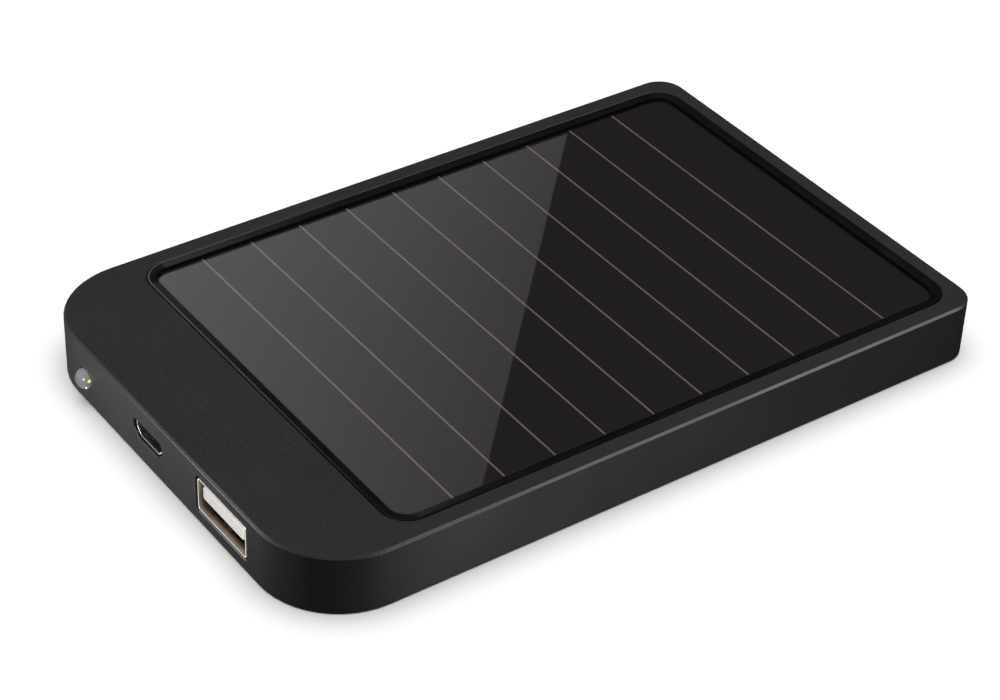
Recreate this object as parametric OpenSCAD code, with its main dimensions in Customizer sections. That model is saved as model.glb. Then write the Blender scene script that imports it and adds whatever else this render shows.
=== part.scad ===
// Pocket solar phone charger: a glass thin-film panel on top of a flat battery pack,
// with an output socket, a charging socket and an indicator light in its near end face.
// +X runs along the length, away from the sockets. +Z is up. Millimetres.
// The origin is the centre of the flat underside.

/* [Body] */
// Length of the housing
body_l = 120; // [108:1:150]
// Width of the housing
body_w = 78; // [72:1:100]
// Height of the housing, underside to top face
body_h = 10; // [9.8:0.1:14]
// Plan radius of the two corners at the socket end
near_r = 13; // [6:0.5:14]
// Plan radius of the two corners at the far end
far_r = 4.5; // [3:0.5:12]
// Chamfer round the top edge
edge_chamfer = 0.35; // [0.3:0.05:0.95]
// Side wall thickness
wall = 1.5; // [1.2:0.05:2]
// Roof thickness over the electronics
roof_t = 1.5; // [1.2:0.05:1.7]

/* [Back cover] */
// Thickness of the back cover
cover_t = 1.2; // [0.9:0.05:1.4]
// Width of the housing rim that surrounds the cover
rim_w = 0.9; // [0.6:0.05:1.1]
// Gap between the cover and the rim
cover_gap = 0.1; // [0.05:0.01:0.2]
// Width of one snap clip
clip_w = 5; // [3:0.5:8]
// Thickness of a snap clip's arm
clip_t = 1; // [0.7:0.1:1.2]
// Reach of a clip's barb into the wall
clip_bite = 0.35; // [0.2:0.05:0.5]
// Clips along each long side
side_clips = 3; // [2:1:4]

/* [Solar panel] */
// Margin from the near end of the housing to the panel frame
panel_near_margin = 15.9; // [15:0.1:24]
// Margin from the far end of the housing to the panel frame
panel_far_margin = 2.65; // [2:0.05:6]
// Margin from each long side of the housing to the panel frame
panel_side_margin = 2.95; // [2:0.05:6]
// Width of the gloss frame round the panel
frame_w = 1.45; // [1:0.05:2.5]
// Outer corner radius of the gloss frame
frame_r = 4.5; // [3:0.1:6]
// How far the glass lies below the top face
glass_recess = 0.2; // [0.1:0.05:0.4]
// Glass thickness
glass_t = 0.55; // [0.5:0.05:1.2]
// Thickness of the cell film
film_t = 0.1; // [0.05:0.01:0.15]
// Thickness of the bus bars
bus_t = 0.1; // [0.05:0.01:0.15]
// Width of the bus bars
bus_w = 2; // [1:0.5:4]
// Thickness of the protective coat on the back of the panel
coat_t = 0.15; // [0.1:0.01:0.2]
// Thickness of the adhesive frame under the panel
panel_tape_t = 0.35; // [0.2:0.01:0.4]
// Width of the adhesive frame under the panel
panel_tape_w = 8; // [4:0.5:14]
// Thickness of the floor under the panel
floor_t = 1; // [0.8:0.05:1.2]
// Number of cells in series
cell_count = 11; // [6:1:14]
// Pitch of the scribe lines between cells
cell_pitch = 8.72; // [6:0.01:9]
// Width of one scribe line
scribe_w = 0.3; // [0.15:0.05:0.6]
// Gap round the glass and round the frame
panel_gap = 0.1; // [0.05:0.01:0.2]

/* [Circuit board] */
// Board length along X
board_l = 17; // [16.5:0.1:19]
// Board width along Y
board_w = 51; // [50:0.5:58]
// Board thickness
board_t = 1; // [0.8:0.1:1.2]
// Free height between the cover and the board
board_clear = 1.8; // [1.6:0.1:2]
// Gap between the board and the near wall
board_gap = 0.2; // [0.1:0.05:0.5]
// Pilot hole radius in a screw boss
pilot_r = 0.8; // [0.6:0.05:0.9]
// Screw boss radius
boss_r = 1.9; // [1.6:0.1:2.1]
// Screw length below its head
screw_len = 3.6; // [2.5:0.1:3.7]

/* [Sockets and light] */
// Sideways place of the output socket
usb_y = -16.2; // [-18:0.1:-16]
// Outer width of the output socket shell
usb_w = 13.1; // [12.8:0.1:13.4]
// Outer height of the output socket shell
usb_h = 5.7; // [5.5:0.1:5.8]
// Depth of the output socket shell
usb_d = 14; // [12:0.5:14]
// Sheet thickness of the output socket shell
usb_sheet = 0.3; // [0.2:0.05:0.4]
// How deep the output socket sits below the top of the board
usb_sink = 1.7; // [1.5:0.05:1.8]
// Sideways place of the charging socket
micro_y = 4.4; // [3.5:0.1:5]
// Outer width of the charging socket shell
micro_w = 7.5; // [7.3:0.1:7.8]
// Outer height of the charging socket shell
micro_h = 2.45; // [2.3:0.05:2.6]
// Depth of the charging socket shell
micro_d = 5; // [4.5:0.1:5.5]
// Sheet thickness of the charging socket shell
micro_sheet = 0.25; // [0.2:0.05:0.3]
// Gap between a socket shell and its opening
port_gap = 0.25; // [0.15:0.05:0.35]
// Sideways place of the indicator light
led_y = 23.1; // [22:0.1:23.6]
// Lens radius of the indicator light
led_r = 1.5; // [1.4:0.05:1.6]
// Gap round the indicator light in the wall
led_gap = 0.1; // [0.05:0.05:0.2]

/* [Battery] */
// Gap between the battery and the walls along each long side
battery_side_gap = 5.5; // [5.3:0.1:9]
// Gap between the battery and the far wall
battery_far_gap = 3; // [2:0.5:10]
// Length of the sealed end that carries the tabs
terrace_l = 5; // [4.5:0.1:7]
// Plan radius of the pouch corners
battery_r = 2; // [1:0.5:4]
// Thickness of the foam pad over the battery
foam_t = 0.5; // [0.3:0.1:0.5]
// Thickness of the adhesive strips under the battery
strip_t = 0.2; // [0.1:0.05:0.3]
// Outer radius of every insulated lead
lead_r = 0.5; // [0.35:0.05:0.55]

/* [Hidden] */
$fn = 48;
// Overshoot of a cut past the face it opens
cut = 1;
// Overlap that joins two pieces of one solid
join = 0.1;
// How far a let-in strip stands out of the face it is let into
flush = 0.001;

// Planes and edges of the housing
near_x = -body_l / 2;
far_x = body_l / 2;
side_y = body_w / 2;
inner_near_x = near_x + wall;
inner_far_x = far_x - wall;
inner_side_y = side_y - wall;

// Solar panel stack, from the top face down
frame_x0 = near_x + panel_near_margin;
frame_x1 = far_x - panel_far_margin;
frame_l = frame_x1 - frame_x0;
frame_y = side_y - panel_side_margin;
frame_cx = (frame_x0 + frame_x1) / 2;
glass_top = body_h - glass_recess;
glass_z = glass_top - glass_t;
film_z = glass_z - film_t;
bus_z = film_z - bus_t;
coat_z = bus_z - coat_t;
floor_z = coat_z - panel_tape_t;
under_floor_z = floor_z - floor_t;
glass_l = frame_l - 2 * (frame_w + 2 * panel_gap);
glass_w = 2 * (frame_y - frame_w - 2 * panel_gap);
glass_r = frame_r - frame_w - panel_gap;
// Edge of the glass left bare of film
film_inset = 0.15;
film_l = glass_l - 2 * film_inset;
film_w = glass_w - 2 * film_inset;
film_r = glass_r - film_inset;
film_x0 = frame_cx - film_l / 2;
film_x1 = frame_cx + film_l / 2;
first_scribe_x = film_x0 + cell_pitch;
bay_x = frame_x0 - wall;
roof_z = body_h - roof_t;

// Board and what stands on it
board_z = cover_t + board_clear;
board_top = board_z + board_t;
board_x0 = inner_near_x + board_gap;
board_x1 = board_x0 + board_l;
// Gap round what is let into the board
board_play = 0.3;
screw_clear = 0.2;
head_r = 1.5;
head_h = 0.9;
boss_inset = 1.9;
boss_at = [
    [board_x1 - boss_inset, -board_w / 2 + 2.7],
    [board_x1 - boss_inset, 14],
    [board_x0 + 5.3, 14.5]
];
usb_z = board_top - usb_sink;
usb_proud = 0.3;
usb_x0 = near_x - usb_proud;
usb_inner_w = usb_w - 2 * usb_sheet;
usb_inner_z0 = usb_z + usb_sheet;
usb_inner_z1 = usb_z + usb_h - usb_sheet;
tongue_w = 11.1;
tongue_t = 1.84;
tongue_drop = 0.75;
tongue_z = usb_inner_z1 - tongue_drop - tongue_t;
tongue_set = 0.9;
rear_block_l = 4;
micro_x0 = near_x + 0.1;
micro_z = board_top;
micro_chamfer = 1.1;
micro_tongue_w = 3.8;
micro_tongue_t = 0.6;
micro_tongue_set = 0.9;
led_leg = 0.5;
led_pitch = 2.54;
led_z = board_top + led_leg / 2;
led_flange_r = led_r + 0.4;
led_barrel = 2.6;
led_flange_t = 1;
led_flange_x = near_x + led_barrel;
led_pocket = 1.8;
led_notch_x = led_flange_x + led_flange_t + board_play;

// Battery
battery_y = inner_side_y - battery_side_gap;
terrace_x0 = board_x1 + 1;
battery_x0 = terrace_x0 + terrace_l;
battery_x1 = inner_far_x - battery_far_gap;
battery_z = cover_t + strip_t;
pad_gap = 0.1;
battery_top = under_floor_z - pad_gap - foam_t;
battery_mid = (battery_z + battery_top) / 2;
seal_t = 0.4;
tab_t = 0.15;
tab_w = 4;
tab_y = 10;
guard_w = 3.4;
guard_t = 0.7;
guard_half = 20;
guard_x0 = terrace_x0 + 0.6;
guard_z = battery_mid + seal_t / 2 + tab_t;
guard_part_h = 0.75;
guard_chip_y = [-9, -3];
guard_chip_w = 3;
guard_chip_inset = 0.5;
guard_resistor_y = [9, 11, 13];
guard_resistor_w = 0.8;
guard_resistor_inset = 1;
tape_t = 0.1;
tape_margin = 1.4;
tape_z = guard_z + guard_t + guard_part_h;
tape_y0 = guard_chip_y[0] - tape_margin;
tape_y1 = guard_chip_y[1] + guard_chip_w + tape_margin;
rib_t = 0.8;
rib_h = 2;
rib_gap = 0.3;
strip_w = 10;
strip_margin = 6;

// Lead routes: soft curves through round numbers, measured from the board's end, the panel and the walls
lead_lane_y = inner_side_y - 2.7;
lead_lane_z = board_top + 0.6;
pad_y = board_w / 2 - 1.7;
panel_pad_y = glass_w / 2 - 1.6;
panel_pad_near_x = frame_cx - film_l / 2 + bus_w / 2;
panel_pad_far_x = frame_cx + film_l / 2 - bus_w / 2;
pad_h = 0.3;
pad_z = board_top + pad_h + lead_r;
red_panel_route = [
    [panel_pad_far_x, panel_pad_y, coat_z - 0.04],
    [panel_pad_far_x, panel_pad_y, under_floor_z - 0.6],
    [panel_pad_far_x - 2.5, lead_lane_y, lead_lane_z + 0.4],
    [panel_pad_far_x - 8, lead_lane_y, lead_lane_z],
    [panel_pad_near_x + 60, lead_lane_y, lead_lane_z],
    [panel_pad_near_x + 30, lead_lane_y, lead_lane_z],
    [terrace_x0 + 2, lead_lane_y, lead_lane_z],
    [board_x1 - 3, lead_lane_y - 1, lead_lane_z + 0.1],
    [board_x1 - 6.5, pad_y + 5, lead_lane_z + 0.3],
    [board_x1 - 7, pad_y + 1.8, pad_z + 0.3],
    [board_x1 - 7, pad_y, pad_z]
];
black_panel_route = [
    [panel_pad_near_x, panel_pad_y, coat_z - 0.04],
    [panel_pad_near_x, panel_pad_y - 0.2, under_floor_z - 0.8],
    [panel_pad_near_x - 2, panel_pad_y - 3, pad_z + 0.8],
    [board_x1 - 3.5, pad_y + 2.2, pad_z + 0.3],
    [board_x1 - 3.5, pad_y, pad_z]
];
battery_pad_y = 4;
red_battery_route = [
    [guard_x0 + 1.2, -guard_half + 8, guard_z + guard_t + lead_r + 0.01],
    [guard_x0 - 1, -guard_half + 8.2, guard_z + guard_t + lead_r],
    [board_x1 - 1.6, -guard_half + 11, pad_z + 0.4],
    [board_x1 - 1.8, -battery_pad_y - 2.6, pad_z + 0.2],
    [board_x1 - 1.8, -battery_pad_y, pad_z + 0.01]
];
black_battery_route = [
    [guard_x0 + 1.2, guard_half - 15, guard_z + guard_t + lead_r + 0.01],
    [guard_x0 - 1, guard_half - 15, guard_z + guard_t + lead_r],
    [board_x1 - 1.4, battery_pad_y + 0.6, pad_z + 0.3],
    [board_x1 - 1.8, battery_pad_y - 1, pad_z + 0.01]
];

// ---------- shared shapes ----------

// Box between two corners
module block(from, to) {
    translate(from) cube(to - from);
}

// Plate centred on the origin in plan, large corners at -X and small corners at +X
module plate(l, w, r_near, r_far, h) {
    for (s = [-1, 1]) {
        translate([-l / 2 + r_near, s * (w / 2 - r_near), 0]) cylinder(r = r_near, h = h);
        translate([l / 2 - r_far, s * (w / 2 - r_far), 0]) cylinder(r = r_far, h = h);
    }
    block([-l / 2 + r_near, -w / 2, 0], [l / 2 - r_far, w / 2, h]);
    block([-l / 2, -w / 2 + r_near, 0], [0, w / 2 - r_near, h]);
    block([0, -w / 2 + r_far, 0], [l / 2, w / 2 - r_far, h]);
}

// Plate whose top edge is bevelled: the bevel comes in by c and down by d
module bevelled_plate(l, w, r_near, r_far, h, c, d) {
    for (s = [-1, 1]) {
        translate([-l / 2 + r_near, s * (w / 2 - r_near), 0]) bevelled_post(r_near, h, c, d);
        translate([l / 2 - r_far, s * (w / 2 - r_far), 0]) bevelled_post(r_far, h, c, d);
    }
    translate([-l / 2 + r_near, 0, 0]) rotate([90, 0, 90])
        linear_extrude(l - r_near - r_far)
            polygon([
                [-w / 2, 0], [w / 2, 0], [w / 2, h - d],
                [w / 2 - c, h], [c - w / 2, h], [-w / 2, h - d]
            ]);
    translate([0, w / 2 - r_near, 0]) rotate([90, 0, 0])
        linear_extrude(w - 2 * r_near)
            polygon([[0, 0], [0, h], [c - l / 2, h], [-l / 2, h - d], [-l / 2, 0]]);
    translate([0, w / 2 - r_far, 0]) rotate([90, 0, 0])
        linear_extrude(w - 2 * r_far)
            polygon([[0, 0], [l / 2, 0], [l / 2, h - d], [l / 2 - c, h], [0, h]]);
}

module bevelled_post(r, h, c, d) {
    rotate_extrude() polygon([[0, 0], [r, 0], [r, h - d], [r - c, h], [0, h]]);
}

// Rounded rectangle standing in the near end face, extruded along +X
module end_slot(y, z0, w, h, r, d) {
    translate([0, y - w / 2 + r, z0]) cube([d, w - 2 * r, h]);
    translate([0, y - w / 2, z0 + r]) cube([d, w, h - 2 * r]);
    for (s = [-1, 1], k = [r, h - r])
        translate([0, y + s * (w / 2 - r), z0 + k]) rotate([0, 90, 0]) cylinder(r = r, h = d);
}

// Charging socket outline: full width above, lower corners cut off; grown outwards by g
module micro_outline(g, d) {
    half = micro_w / 2 + g;
    corner = micro_chamfer + 0.4 * g;
    translate([0, micro_y, 0]) rotate([90, 0, 90]) linear_extrude(d)
        polygon([
            [-half, micro_z + micro_h + g], [-half, micro_z - g + corner],
            [-half + corner, micro_z - g], [half - corner, micro_z - g],
            [half, micro_z - g + corner], [half, micro_z + micro_h + g]
        ]);
}

// Small leadless part lying on the board
module chip_part(x, y, size) {
    translate([x - size[0] / 2, y - size[1] / 2, board_top]) cube(size);
}

// ---------- swept leads ----------

function unit(v) = v / norm(v);

// Smooth curve through the points p, steps pieces between two neighbours
function spline(p, steps) = [
    for (i = [0 : len(p) - 2], k = [0 : steps - 1])
        let (a = p[max(i - 1, 0)], b = p[i], c = p[i + 1], d = p[min(i + 2, len(p) - 1)], t = k / steps)
            0.5 * (2 * b + (c - a) * t + (2 * a - 5 * b + 4 * c - d) * t * t
                + (3 * b - a - 3 * c + d) * t * t * t),
    p[len(p) - 1]
];

// A side direction carried along the curve without twisting
function carried(t, i = 0, out = []) = i == len(t) ? out
    : let (last = i == 0 ? (abs(t[0][2]) > 0.9 ? [1, 0, 0] : [0, 0, 1]) : out[i - 1])
        carried(t, i + 1, concat(out, [unit(last - (last * t[i]) * t[i])]));

// Closed round tube of radius r along the points p
module lead(p, r, sides = 8) {
    n = len(p);
    t = [for (i = [0 : n - 1]) unit(p[min(i + 1, n - 1)] - p[max(i - 1, 0)])];
    u = carried(t);
    rings = [
        for (i = [0 : n - 1], k = [0 : sides - 1])
            let (a = 360 * k / sides)
                p[i] + r * (cos(a) * u[i] + sin(a) * cross(t[i], u[i]))
    ];
    walls = [
        for (i = [0 : n - 2], k = [0 : sides - 1])
            let (a = i * sides + k, b = i * sides + (k + 1) % sides)
                each [[a, a + sides, b + sides], [a, b + sides, b]]
    ];
    near_cap = [[for (k = [0 : sides - 1]) k]];
    far_cap = [[for (k = [sides - 1 : -1 : 0]) (n - 1) * sides + k]];
    polyhedron(rings, concat(walls, near_cap, far_cap));
}

// ---------- housing ----------

// One screw boss hanging from the roof or from the panel floor, down to the board
module boss(at) {
    boss_top = (at[0] + boss_r < bay_x ? roof_z : under_floor_z) + join;
    translate([at[0], at[1], board_top]) cylinder(r = boss_r, h = boss_top - board_top);
}

// Where the snap clips stand: [angle of the outward side, distance to that wall, place along it]
clip_span = inner_far_x - battery_x0 - 24;
clip_at = [
    for (side = [0, 180], i = [0 : side_clips - 1])
        [side, inner_side_y, battery_x0 + 12 + clip_span * i / (side_clips - 1)],
    for (s = [-1, 1]) [270, inner_far_x, s * body_w / 4]
];
clip_z = 3.4;
clip_top = 4.4;
clip_play = 0.15;

// Places children against an inner wall, with +Y pointing out through that wall
module at_clip(c) {
    along = c[0] == 0 ? c[2] : -c[2];
    rotate([0, 0, c[0]]) translate([along, c[1], 0]) children();
}

// Hollow that a clip's barb springs into
module clip_pocket() {
    depth = clip_bite + clip_play;
    block([-clip_w / 2 - clip_play, -cut, clip_z - clip_play],
        [clip_w / 2 + clip_play, depth, clip_top + clip_play]);
}

module clip() {
    translate([-clip_w / 2, 0, 0]) rotate([90, 0, 90]) linear_extrude(clip_w)
        polygon([
            [-clip_play - clip_t, cover_t - join], [-clip_play, cover_t - join],
            [-clip_play, clip_z], [clip_bite, clip_z],
            [-clip_play, clip_top], [-clip_play - clip_t, clip_top]
        ]);
}

module housing_cuts() {
    inner_l = body_l - 2 * wall;
    inner_w = body_w - 2 * wall;
    // main cavity, up to the floor under the panel
    translate([0, 0, -cut]) plate(inner_l, inner_w, near_r - wall, far_r - wall, under_floor_z + cut);
    // seat of the back cover
    translate([0, 0, -cut])
        plate(body_l - 2 * rim_w, body_w - 2 * rim_w, near_r - rim_w, far_r - rim_w, cover_t + cut);
    // deeper bay over the electronics
    intersection() {
        translate([0, 0, cover_t]) plate(inner_l, inner_w, near_r - wall, far_r - wall, roof_z - cover_t);
        block([near_x, -side_y, cover_t], [bay_x, side_y, roof_z]);
    }
    // seat of the solar panel
    translate([frame_cx, 0, floor_z]) plate(frame_l, 2 * frame_y, frame_r, frame_r, body_h);
    // holes for the panel leads
    for (x = [panel_pad_near_x, panel_pad_far_x])
        translate([x, panel_pad_y, under_floor_z - cut]) cylinder(r = 2 * lead_r, h = floor_t + 2 * cut);
    // socket and light openings in the near wall
    translate([near_x - cut, 0, 0]) {
        end_slot(usb_y, usb_z - port_gap, usb_w + 2 * port_gap, usb_h + 2 * port_gap, 0.8, wall + 2 * cut);
        micro_outline(port_gap, wall + 2 * cut);
        translate([0, led_y, led_z]) rotate([0, 90, 0])
            cylinder(r = led_r + led_gap, h = wall + 2 * cut);
    }
    for (c = clip_at) at_clip(c) clip_pocket();
}

module upper_housing() {
    color("#2f2f31") difference() {
        union() {
            difference() {
                bevelled_plate(body_l, body_w, near_r, far_r, body_h, edge_chamfer, edge_chamfer);
                housing_cuts();
            }
            for (at = boss_at) boss(at);
        }
        for (at = boss_at)
            translate([at[0], at[1], board_top - cut])
                cylinder(r = pilot_r, h = board_z + screw_len + screw_clear - board_top + cut);
    }
}

module back_cover() {
    inset = rim_w + cover_gap;
    x0 = battery_x0 - rib_gap;
    x1 = battery_x1 + rib_gap;
    y1 = battery_y + rib_gap;
    color("#2a2a2c") {
        plate(body_l - 2 * inset, body_w - 2 * inset, near_r - inset, far_r - inset, cover_t);
        for (c = clip_at) at_clip(c) clip();
        // ribs that keep the battery in its place
        for (y = [-y1 - rib_t, y1])
            block([x0, y, cover_t - join], [x1, y + rib_t, cover_t + rib_h]);
        block([x1, -battery_y * 0.8, cover_t - join], [x1 + rib_t, battery_y * 0.8, cover_t + rib_h]);
    }
}

// ---------- solar panel ----------

// Gloss frame: outer edge flush with the top face, its top sloping down to the glass
module panel_bezel() {
    outer_l = frame_l - 2 * panel_gap;
    outer_w = 2 * (frame_y - panel_gap);
    outer_r = frame_r - panel_gap;
    slope = frame_w - panel_gap;
    color("#0b0b0c") translate([frame_cx, 0, 0]) difference() {
        translate([0, 0, floor_z])
            plate(outer_l, outer_w, outer_r, outer_r, body_h - floor_z);
        translate([0, 0, floor_z - cut])
            plate(outer_l - 2 * slope, outer_w - 2 * slope, outer_r - slope, outer_r - slope, body_h);
        translate([0, 0, body_h + cut]) mirror([0, 0, 1])
            bevelled_plate(outer_l, outer_w, outer_r, outer_r, cut + glass_recess, slope, glass_recess);
    }
}

module panel_glass() {
    color("#26242a", 0.6) translate([frame_cx, 0, glass_z])
        plate(glass_l, glass_w, glass_r, glass_r, glass_t);
}

// Outline of the film on the back of the glass, between two heights
module film_outline(z0, z1) {
    translate([frame_cx, 0, z0]) plate(film_l, film_w, film_r, film_r, z1 - z0);
}

// Left edge of cell i; the last cell takes what is left of the film
function cell_x0(i) = i == 0 ? film_x0 : first_scribe_x + (i - 1) * cell_pitch + scribe_w / 2;
// Right edge of cell i
function cell_x1(i) = i == cell_count - 1 ? film_x1 : first_scribe_x + i * cell_pitch - scribe_w / 2;

module cell_strips() {
    color("#211f21") for (i = [0 : cell_count - 1]) intersection() {
        film_outline(film_z, glass_z);
        block([cell_x0(i), -film_w / 2, film_z], [cell_x1(i), film_w / 2, glass_z]);
    }
}

module cell_scribe_lines() {
    color("#7d6663") for (i = [0 : cell_count - 2])
        block([cell_x1(i), -film_w / 2, film_z], [cell_x0(i + 1), film_w / 2, glass_z]);
}

module panel_bus_bars() {
    color("silver") for (x = [panel_pad_near_x, panel_pad_far_x]) intersection() {
        film_outline(bus_z, film_z);
        block([x - bus_w / 2, -film_w / 2, bus_z], [x + bus_w / 2, film_w / 2, film_z]);
    }
}

module panel_back_coat() {
    color("#3c3f3a") difference() {
        film_outline(coat_z, bus_z);
        for (x = [panel_pad_near_x, panel_pad_far_x])
            translate([x, panel_pad_y, coat_z - cut]) cylinder(r = 2 * lead_r, h = coat_t + 2 * cut);
    }
}

module panel_adhesive() {
    hole_l = film_l - 2 * panel_tape_w;
    hole_w = film_w - 2 * panel_tape_w;
    color("#d8d4c6") difference() {
        film_outline(floor_z, coat_z);
        block([frame_cx - hole_l / 2, -hole_w / 2, floor_z - cut],
            [frame_cx + hole_l / 2, hole_w / 2, coat_z + cut]);
        for (x = [panel_pad_near_x, panel_pad_far_x])
            translate([x, panel_pad_y, floor_z - cut]) cylinder(r = 3 * lead_r, h = panel_tape_t + 2 * cut);
    }
}

// Solder on the bus bars, where the leads end
module panel_solder_pads() {
    color("#b9bcc0") for (x = [panel_pad_near_x, panel_pad_far_x])
        translate([x, panel_pad_y, coat_z]) cylinder(r = 1.7 * lead_r, h = coat_t);
}

module panel_lead_red() {
    color("red") lead(spline(red_panel_route, 6), lead_r);
}

module panel_lead_black() {
    color("#151515") lead(spline(black_panel_route, 8), lead_r);
}

// ---------- circuit board ----------

module circuit_board() {
    usb_half = usb_w / 2 + board_play;
    color("#0f5a34") difference() {
        block([board_x0, -board_w / 2, board_z], [board_x1, board_w / 2, board_top]);
        // recess for the sunk output socket
        block([board_x0 - cut, usb_y - usb_half, board_z - cut],
            [usb_x0 + usb_d + board_play, usb_y + usb_half, board_top + cut]);
        // room for the flange of the light
        block([board_x0 - cut, led_y - led_flange_r - board_play, board_z - cut],
            [led_notch_x, board_w / 2 + cut, board_top + cut]);
        for (at = boss_at)
            translate([at[0], at[1], board_z - cut])
                cylinder(r = pilot_r + screw_clear, h = board_t + 2 * cut);
    }
}

module board_screws() {
    color("#9a9da1") for (at = boss_at) translate([at[0], at[1], board_z]) difference() {
        union() {
            cylinder(r = pilot_r, h = screw_len);
            translate([0, 0, -head_h]) cylinder(r = head_r, h = head_h);
        }
        // cross recess
        for (a = [0, 90]) rotate([0, 0, a])
            block([-0.9, -0.15, -head_h - cut], [0.9, 0.15, -head_h / 2]);
    }
}

pad_at = [
    [board_x1 - 3.5, pad_y], [board_x1 - 7, pad_y],
    [board_x1 - 1.8, -battery_pad_y], [board_x1 - 1.8, battery_pad_y - 1]
];

module board_solder_pads() {
    color("#b9bcc0") for (p = pad_at)
        translate([p[0], p[1], board_top]) cylinder(r = 0.9, h = pad_h);
}

// Gull-wing legs of a small-outline chip of body size [l, w, h], centred at [x, y]
module gull_legs(x, y, size, pins) {
    pitch = 1.27;
    for (s = [-1, 1], i = [0 : pins - 1])
        translate([x + (i - (pins - 1) / 2) * pitch - 0.2, y + s * size[1] / 2, board_top]) {
            block([0, min(0, s * 0.5), 0.55], [0.4, max(0, s * 0.5), 0.75]);
            block([0, s > 0 ? 0.4 : -0.6, 0], [0.4, s > 0 ? 0.6 : -0.4, 0.75]);
            block([0, s > 0 ? 0.4 : -1.1, 0], [0.4, s > 0 ? 1.1 : -0.4, 0.2]);
        }
}

chip_size = [4.9, 3.9, 1.45];
charge_chip_at = [board_x0 + 8, 5];
boost_chip_at = [board_x1 - 5.8, -4.6];

module chip_body(at) {
    corner = [at[0] - chip_size[0] / 2, at[1] - chip_size[1] / 2, board_top];
    dot_inset = 0.8;
    color("#1b1b1d") difference() {
        translate(corner + [0, 0, 0.1]) cube(chip_size - [0, 0, 0.1]);
        // round mark beside the first leg
        translate(corner + [dot_inset, dot_inset, chip_size[2] - 0.1]) cylinder(r = 0.3, h = cut);
    }
}

module charge_chip() {
    chip_body(charge_chip_at);
}

module boost_chip() {
    chip_body(boost_chip_at);
}

module chip_pins() {
    color("#b9bcc0") {
        gull_legs(charge_chip_at[0], charge_chip_at[1], chip_size, 4);
        gull_legs(boost_chip_at[0], boost_chip_at[1], chip_size, 4);
    }
}

coil_at = [board_x0 + 4.6, -5.2];
coil_r = 2.9;
coil_h = 2.9;

// Drum core: two flanges on a post
module inductor_core() {
    color("#3a3a3c") translate([coil_at[0], coil_at[1], board_top]) {
        cylinder(r = coil_r, h = 0.6);
        cylinder(r = coil_r / 2, h = coil_h);
        translate([0, 0, coil_h - 0.6]) cylinder(r = coil_r, h = 0.6);
    }
}

module inductor_winding() {
    color("#b5651d") translate([coil_at[0], coil_at[1], board_top + 0.6]) difference() {
        cylinder(r = coil_r - 0.3, h = coil_h - 1.2);
        translate([0, 0, -cut]) cylinder(r = coil_r / 2, h = coil_h + 2 * cut);
    }
}

module blocking_diode() {
    color("#202022") chip_part(board_x0 + 8.5, 20, [4.3, 2.6, 2.1]);
}

module output_capacitor() {
    color("#c8962e") chip_part(board_x1 - 2.2, usb_y + 1.5, [2.8, 3.5, 1.9]);
}

module ceramic_capacitors() {
    color("#b08a5a") {
        for (i = [0 : 2]) chip_part(board_x0 + 11.4, 8.6 + 2.2 * i, [2, 1.25, 0.9]);
        for (i = [0 : 1]) chip_part(board_x0 + 2.2, -1.2 + 11.6 * i, [1.25, 2, 0.9]);
    }
}

module resistors() {
    color("#26262a") {
        for (i = [0 : 2]) chip_part(board_x0 + 12.2, 1.4 + 1.5 * i, [1.6, 0.8, 0.45]);
        for (i = [0 : 1]) chip_part(board_x0 + 8.4, -9 + 0.95 * i, [1.6, 0.8, 0.45]);
    }
}

// ---------- output socket ----------

// Slot that frees a spring finger in the shell's roof or floor
module finger_slot(y, z) {
    gap = 0.25;
    block([usb_x0 + 3, y - 1.2, z], [usb_x0 + 8.2, y - 1.2 + gap, z + 2 * cut]);
    block([usb_x0 + 3, y + 1.2 - gap, z], [usb_x0 + 8.2, y + 1.2, z + 2 * cut]);
    block([usb_x0 + 8.2 - gap, y - 1.2, z], [usb_x0 + 8.2, y + 1.2, z + 2 * cut]);
}

module usb_a_shell() {
    corner = 0.6;
    color("#c9c6bd") {
        difference() {
            translate([usb_x0, 0, 0]) end_slot(usb_y, usb_z, usb_w, usb_h, corner, usb_d);
            translate([usb_x0 - cut, 0, 0])
                end_slot(usb_y, usb_inner_z0, usb_inner_w, usb_h - 2 * usb_sheet, corner - usb_sheet,
                    usb_d - usb_sheet + cut);
            for (s = [-1, 1], z = [usb_z - cut, usb_inner_z1 - cut + usb_sheet])
                finger_slot(usb_y + s * 3, z);
        }
        // legs that are soldered through the board
        for (s = [-1, 1])
            block([usb_x0 + 6, usb_y + s * usb_w / 2 - (s > 0 ? usb_sheet : 0), usb_z],
                [usb_x0 + 8, usb_y + s * usb_w / 2 + (s > 0 ? 0 : usb_sheet), usb_z + usb_h]);
    }
}

module usb_a_rear_block() {
    x0 = usb_x0 + usb_d - usb_sheet - rear_block_l;
    color("#e9e7e0") difference() {
        block([x0, usb_y - usb_inner_w / 2 + 0.1, usb_inner_z0 + 0.1],
            [x0 + rear_block_l - 0.1, usb_y + usb_inner_w / 2 - 0.1, usb_inner_z1 - 0.1]);
        contact_strips();
    }
}

module usb_a_tongue() {
    x0 = usb_x0 + tongue_set;
    x1 = usb_x0 + usb_d - usb_sheet - rear_block_l;
    color("#f4f3ee") difference() {
        block([x0, usb_y - tongue_w / 2, tongue_z], [x1, usb_y + tongue_w / 2, tongue_z + tongue_t]);
        contact_strips();
    }
}

contact_y = [-3.5, -1, 1, 3.5];
contact_w = 1;
contact_t = 0.3;
// How far the strips stay behind the tongue's tip and the rear block's back
contact_set = 1;

// Four contact strips let into the underside of the tongue
module contact_strips() {
    for (y = contact_y)
        block([usb_x0 + tongue_set + contact_set, usb_y + y - contact_w / 2, tongue_z - flush],
            [usb_x0 + usb_d - usb_sheet - contact_set, usb_y + y + contact_w / 2, tongue_z + contact_t]);
}

module usb_a_contacts() {
    color("gold") contact_strips();
}

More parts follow.
